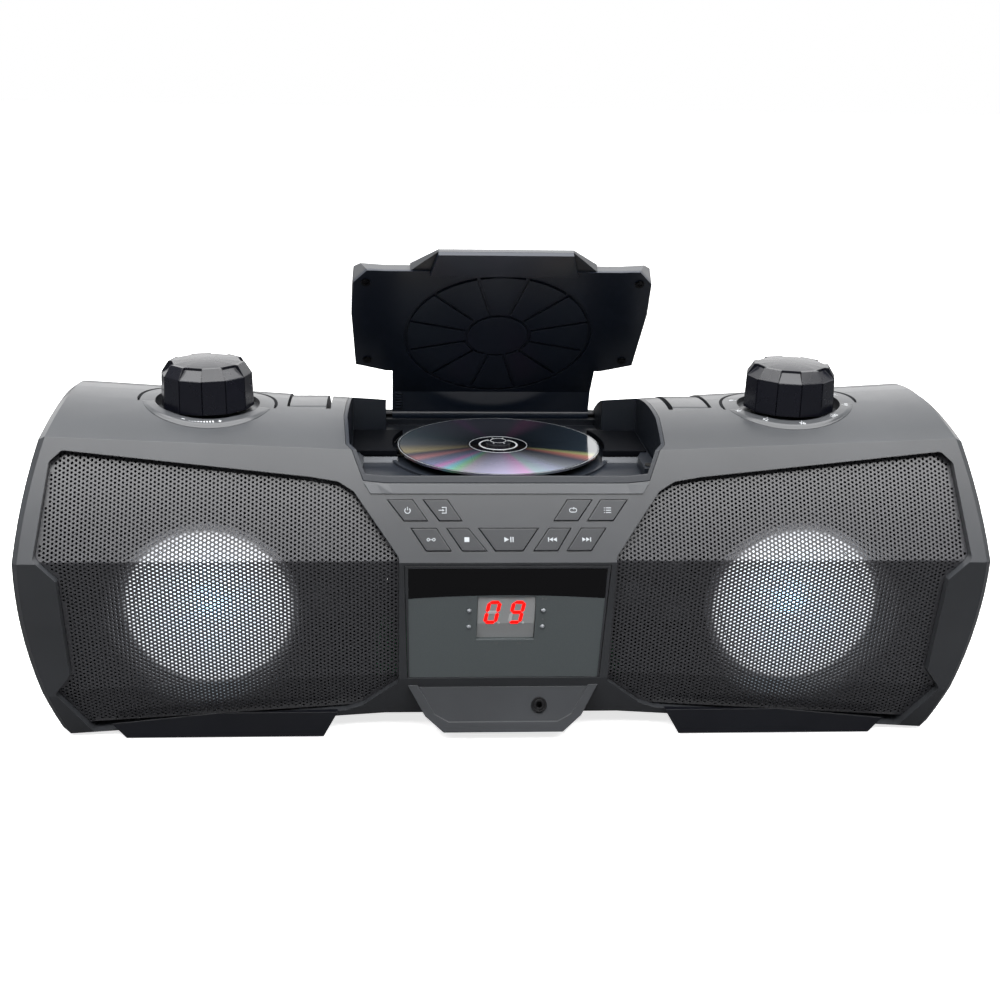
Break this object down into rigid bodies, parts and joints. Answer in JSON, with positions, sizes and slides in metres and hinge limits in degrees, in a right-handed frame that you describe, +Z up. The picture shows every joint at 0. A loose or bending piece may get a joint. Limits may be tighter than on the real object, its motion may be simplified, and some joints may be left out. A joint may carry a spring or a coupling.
{
  "type": "boombox",
  "caption": "Portable boombox: faceted bow-tie case with two speakers behind grilles, an open top disc lid, knobs, keys, digit display, folding handle and antenna.",
  "frame": {"origin": "on the floor, under the middle of the case", "axes": "+X to the right along the case, -Y to the front, +Z up"},
  "size_m": [0.53, 0.1932, 0.2689],
  "materials": {
    "case": "fine satin texture, dark grey",
    "grille": "satin black perforated steel",
    "foot": "matte black",
    "pad": "matte",
    "screw": "zinc plated",
    "dark_screw": "black plated",
    "magnet": "ferrite and plated steel",
    "basket": "satin black",
    "surround": "pale rubber",
    "lamp_ring": "white with small lamps",
    "cone": "pale coated cone",
    "display_panel": "gloss black band over a dark grey window",
    "digit_module": "light grey with lit red segments",
    "circuit_board": "green solder resist",
    "indicator": "clear",
    "jack": "black with a metal sleeve",
    "knob": "satin black",
    "control": "plated",
    "deck": "satin black",
    "mechanism": "satin",
    "rail": "ground",
    "motor": "plated",
    "turntable": "translucent",
    "disc": "clear over an aluminised layer",
    "lid_inner": "satin black",
    "key": "fine satin texture, dark grey",
    "mast": "polished",
    "inlet": "black",
    "transformer": "varnished laminations",
    "ferrite": "dark ferrite with copper coils"
  },
  "bodies": {
    "cabinet": {"front_shell": "case", "rear_shell": "case", "grille_right": "grille", "grille_left": "grille", "foot_right": "foot", "foot_left": "foot", "rubber_pads": "pad", "case_screws": "screw", "speaker_magnets": "magnet", "speaker_frames": "basket", "speaker_surrounds": "surround", "speaker_lights": "lamp_ring", "display_panel": "display_panel", "display_module": "digit_module", "display_board": "circuit_board", "indicator_lights": "indicator", "jack_panel": "case", "aux_jack": "jack", "key_board": "circuit_board", "volume_control": "control", "tuning_capacitor": "control", "disc_deck": "deck", "lid_bumpers": "pad", "mechanism_chassis": "mechanism", "chassis_dampers": "pad", "pickup_rails": "rail", "spindle_motor": "motor", "sled_motor": "motor", "lid_pins": "dark_screw", "handle_pins": "rail", "battery_box": "deck", "ac_inlet": "inlet", "main_board": "circuit_board", "power_transformer": "transformer", "ferrite_antenna": "ferrite", "speaker_cone_left": "cone", "speaker_cone_right": "cone"},
    "lid": {"lid_shell": "case", "lid_liner": "lid_inner", "lid_screws": "dark_screw"},
    "spindle": {"turntable": "turntable", "compact_disc": "disc"},
    "pickup": {"laser_pickup": "mechanism"},
    "volume_knob": {"volume_knob": "knob"},
    "tuning_knob": {"tuning_knob": "knob"},
    "handle": {"handle": "case"},
    "antenna_base": {"antenna_base": "deck"},
    "antenna_tube": {"antenna_tube": "mast"},
    "antenna_rod": {"antenna_rod": "mast"},
    "battery_door": {"battery_door": "case"},
    "power_key": {"power_key": "key"},
    "source_key": {"source_key": "key"},
    "repeat_key": {"repeat_key": "key"},
    "program_key": {"program_key": "key"},
    "pair_key": {"pair_key": "key"},
    "stop_key": {"stop_key": "key"},
    "play_key": {"play_key": "key"},
    "previous_key": {"previous_key": "key"},
    "next_key": {"next_key": "key"}
  },
  "joints": [
    {"name": "lid_hinge", "type": "hinge", "parent": "cabinet", "child": "lid", "pos_m": [0, 0.076, 0.1495], "axis": [1, 0, 0], "range_deg": [0, 49], "stiffness_Nm_per_rad": 0.12, "springref_deg": -91.67},
    {"name": "spindle_spin", "type": "hinge", "parent": "cabinet", "child": "spindle", "pos_m": [0, 0.005, 0.1489], "axis": [0, 0, 1], "continuous": true},
    {"name": "pickup_slide", "type": "slide", "parent": "cabinet", "child": "pickup", "axis": [-1, 0, 0], "range_m": [0, 0.033]},
    {"name": "volume_turn", "type": "hinge", "parent": "cabinet", "child": "volume_knob", "pos_m": [-0.1685, -0.008, 0.18], "axis": [0, 0, 1], "range_deg": [-150, 150]},
    {"name": "tuning_turn", "type": "hinge", "parent": "cabinet", "child": "tuning_knob", "pos_m": [0.1685, -0.008, 0.18], "axis": [0, 0, 1], "range_deg": [-135, 135]},
    {"name": "handle_swing", "type": "hinge", "parent": "cabinet", "child": "handle", "pos_m": [0, -0.004, 0.17161], "axis": [1, 0, 0], "range_deg": [0, 80]},
    {"name": "antenna_swivel", "type": "hinge", "parent": "cabinet", "child": "antenna_base", "pos_m": [0.13963, 0.08804, 0.14841], "axis": [0.0572, -0.9736, -0.221], "range_deg": [0, 90]},
    {"name": "antenna_tilt", "type": "hinge", "parent": "antenna_base", "child": "antenna_tube", "pos_m": [0.13963, 0.08804, 0.14841], "axis": [-0.0062, -0.2217, 0.9751], "range_deg": [0, 90]},
    {"name": "antenna_extend", "type": "slide", "parent": "antenna_tube", "child": "antenna_rod", "axis": [0.9983, 0.0544, 0.0187], "range_m": [0, 0.08]},
    {"name": "battery_door_tilt", "type": "hinge", "parent": "cabinet", "child": "battery_door", "pos_m": [0, 0.07367, 0.039], "axis": [-1, 0, 0], "range_deg": [0, 75]},
    {"name": "power_press", "type": "slide", "parent": "cabinet", "child": "power_key", "axis": [0, 0.8638, -0.5039], "range_m": [0, 0.0009], "stiffness_N_per_m": 900},
    {"name": "source_press", "type": "slide", "parent": "cabinet", "child": "source_key", "axis": [0, 0.8638, -0.5039], "range_m": [0, 0.0009], "stiffness_N_per_m": 900},
    {"name": "repeat_press", "type": "slide", "parent": "cabinet", "child": "repeat_key", "axis": [0, 0.8638, -0.5039], "range_m": [0, 0.0009], "stiffness_N_per_m": 900},
    {"name": "program_press", "type": "slide", "parent": "cabinet", "child": "program_key", "axis": [0, 0.8638, -0.5039], "range_m": [0, 0.0009], "stiffness_N_per_m": 900},
    {"name": "pair_press", "type": "slide", "parent": "cabinet", "child": "pair_key", "axis": [0, 0.8638, -0.5039], "range_m": [0, 0.0009], "stiffness_N_per_m": 900},
    {"name": "stop_press", "type": "slide", "parent": "cabinet", "child": "stop_key", "axis": [0, 0.8638, -0.5039], "range_m": [0, 0.0009], "stiffness_N_per_m": 900},
    {"name": "play_press", "type": "slide", "parent": "cabinet", "child": "play_key", "axis": [0, 0.8638, -0.5039], "range_m": [0, 0.0009], "stiffness_N_per_m": 900},
    {"name": "previous_press", "type": "slide", "parent": "cabinet", "child": "previous_key", "axis": [0, 0.8638, -0.5039], "range_m": [0, 0.0009], "stiffness_N_per_m": 900},
    {"name": "next_press", "type": "slide", "parent": "cabinet", "child": "next_key", "axis": [0, 0.8638, -0.5039], "range_m": [0, 0.0009], "stiffness_N_per_m": 900}
  ]
}
